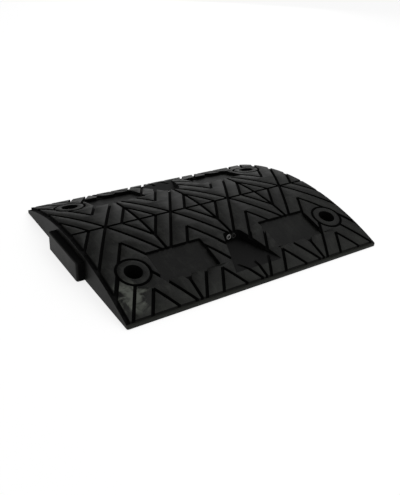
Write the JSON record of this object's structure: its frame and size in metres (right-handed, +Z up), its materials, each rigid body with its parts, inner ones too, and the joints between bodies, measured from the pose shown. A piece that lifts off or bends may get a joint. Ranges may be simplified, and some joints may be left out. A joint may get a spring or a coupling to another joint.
{
  "type": "road hump module",
  "caption": "Black rubber road-hump module with a lattice tread, bolt wells, film beds, glass-bead pockets and an end coupling, bolted to a road to slow traffic.",
  "frame": {"origin": "on the ground plane, at the centre of the underside, which is the centre of the four bolt holes", "axes": "+X along the row of modules, away from the coupling tongue; +Y along the traffic, from the front lip to the rear lip; +Z up"},
  "size_m": [0.513, 0.404, 0.0502],
  "materials": {
    "rubber": "moulded, matt",
    "glass": "polished",
    "sleeve_steel": "bright drawn",
    "washer_steel": "zinc plated"
  },
  "bodies": {
    "root": {"hump_body": "rubber", "front_bead_left": "glass", "front_bead_right": "glass", "rear_bead_left": "glass", "rear_bead_right": "glass", "front_sleeve_left": "sleeve_steel", "front_sleeve_right": "sleeve_steel", "rear_sleeve_left": "sleeve_steel", "rear_sleeve_right": "sleeve_steel", "washer_front_left": "washer_steel", "washer_front_right": "washer_steel", "washer_rear_left": "washer_steel", "washer_rear_right": "washer_steel"}
  },
  "joints": []
}
